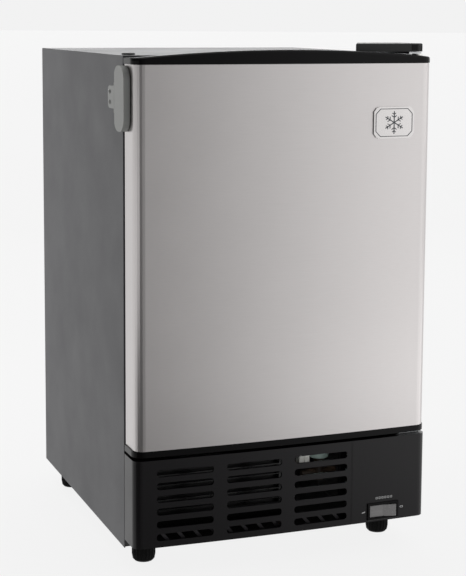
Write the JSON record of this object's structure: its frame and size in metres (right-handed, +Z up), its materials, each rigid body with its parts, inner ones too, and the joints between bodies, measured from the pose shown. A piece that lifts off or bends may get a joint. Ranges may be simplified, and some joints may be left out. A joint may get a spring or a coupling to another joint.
{
  "type": "ice maker",
  "caption": "Under-counter ice maker with a bowed hinged steel door, grey cabinet, black front grille, rocker switch, side latch, ice tray and levelling feet.",
  "frame": {"origin": "bottom centre of the bounding box, on the floor", "axes": "+Z up, the door faces -Y, +X to the right of someone facing the door"},
  "size_m": [0.385, 0.4434, 0.6244],
  "materials": {
    "painted_side": "satin grey paint",
    "zinc_sheet": "galvanised",
    "foam": "rigid foam",
    "white_plastic": "white",
    "brushed_front": "fine horizontal grain",
    "black_plastic": "gloss black",
    "gasket_rubber": "soft",
    "nylon": "natural",
    "badge_chrome": "polished",
    "hinge_black": "satin black",
    "steel_pin": "turned",
    "kick_black": "satin black",
    "rocker_smoke": "smoke grey",
    "latch_grey": "satin grey",
    "compressor_black": "black enamel",
    "aluminium": "mill",
    "fan_black": "satin black",
    "copper": "copper",
    "valve_green": "pale green",
    "bin_plastic": "frosted",
    "foot_black": "black"
  },
  "bodies": {
    "cabinet": {"outer_shell": "painted_side", "rear_panel": "zinc_sheet", "rear_grille": "zinc_sheet", "base_pan": "compressor_black", "front_rail": "compressor_black", "bay_divider": "zinc_sheet", "cabinet_foam": "foam", "inner_liner": "white_plastic", "kick_panel": "kick_black", "switch_bezel": "black_plastic", "control_box": "nylon", "hinge_bracket_bottom": "zinc_sheet", "hinge_pin_bottom": "steel_pin", "hinge_bracket_top": "zinc_sheet", "hinge_pin_top": "steel_pin", "hinge_cover": "hinge_black", "hinge_plug": "hinge_black", "latch_base": "latch_grey", "latch_pin": "steel_pin", "condenser": "compressor_black", "fan_shroud": "fan_black", "fan_motor": "zinc_sheet", "compressor": "compressor_black", "compressor_plate": "compressor_black", "grommet_1": "gasket_rubber", "grommet_2": "gasket_rubber", "grommet_3": "gasket_rubber", "grommet_4": "gasket_rubber", "filter_drier": "copper", "discharge_tube": "copper", "hot_gas_valve": "valve_green", "water_valve": "nylon", "water_tube": "nylon", "cord_gland": "gasket_rubber", "evaporator_plate": "aluminium", "icemaker_mould": "aluminium", "icemaker_head": "white_plastic", "icemaker_stripper": "nylon", "fill_cup": "white_plastic"},
    "door": {"door_skin": "brushed_front", "door_foam": "foam", "door_liner": "white_plastic", "door_gasket": "gasket_rubber", "door_top_trim": "black_plastic", "door_bottom_trim": "black_plastic", "door_badge": "badge_chrome", "door_bush_top": "nylon", "door_bush_bottom": "nylon"},
    "fan": {"fan_blade": "fan_black"},
    "rocker": {"switch_rocker": "rocker_smoke"},
    "latch": {"latch_leaf": "latch_grey"},
    "ejector": {"ejector_shaft": "nylon"},
    "shutoff_arm": {"bail_arm": "steel_pin"},
    "bin": {"ice_bin": "bin_plastic"},
    "foot_front_left": {"foot_1": "foot_black"},
    "foot_front_right": {"foot_2": "foot_black"},
    "foot_rear_left": {"foot_3": "foot_black"},
    "foot_rear_right": {"foot_4": "foot_black"}
  },
  "joints": [
    {"name": "door_swing", "type": "hinge", "parent": "cabinet", "child": "door", "pos_m": [0.18, -0.1961, 0.378], "axis": [0, 0, 1], "range_deg": [0, 105]},
    {"name": "fan_spin", "type": "hinge", "parent": "cabinet", "child": "fan", "pos_m": [-0.0825, -0.1101, 0.091], "axis": [0, 1, 0], "continuous": true},
    {"name": "switch_press", "type": "hinge", "parent": "cabinet", "child": "rocker", "pos_m": [0.134, -0.2133, 0.0505], "axis": [0, 0, 1], "range_deg": [0, 14]},
    {"name": "latch_swing", "type": "hinge", "parent": "cabinet", "child": "latch", "pos_m": [-0.1888, -0.1586, 0.5615], "axis": [0, 0, -1], "range_deg": [0, 100]},
    {"name": "ejector_turn", "type": "hinge", "parent": "cabinet", "child": "ejector", "pos_m": [0.0035, 0.0859, 0.482], "axis": [1, 0, 0], "continuous": true},
    {"name": "arm_lift", "type": "hinge", "parent": "cabinet", "child": "shutoff_arm", "pos_m": [0.0035, 0.0409, 0.432], "axis": [-1, 0, 0], "range_deg": [0, 45]},
    {"name": "bin_lift", "type": "slide", "parent": "cabinet", "child": "bin", "axis": [0, 0, 1], "range_m": [0, 0.03]},
    {"name": "foot_front_left_adjust", "type": "slide", "parent": "cabinet", "child": "foot_front_left", "axis": [0, 0, -1], "range_m": [0, 0.012]},
    {"name": "foot_front_right_adjust", "type": "slide", "parent": "cabinet", "child": "foot_front_right", "axis": [0, 0, -1], "range_m": [0, 0.012]},
    {"name": "foot_rear_left_adjust", "type": "slide", "parent": "cabinet", "child": "foot_rear_left", "axis": [0, 0, -1], "range_m": [0, 0.012]},
    {"name": "foot_rear_right_adjust", "type": "slide", "parent": "cabinet", "child": "foot_rear_right", "axis": [0, 0, -1], "range_m": [0, 0.012]}
  ]
}
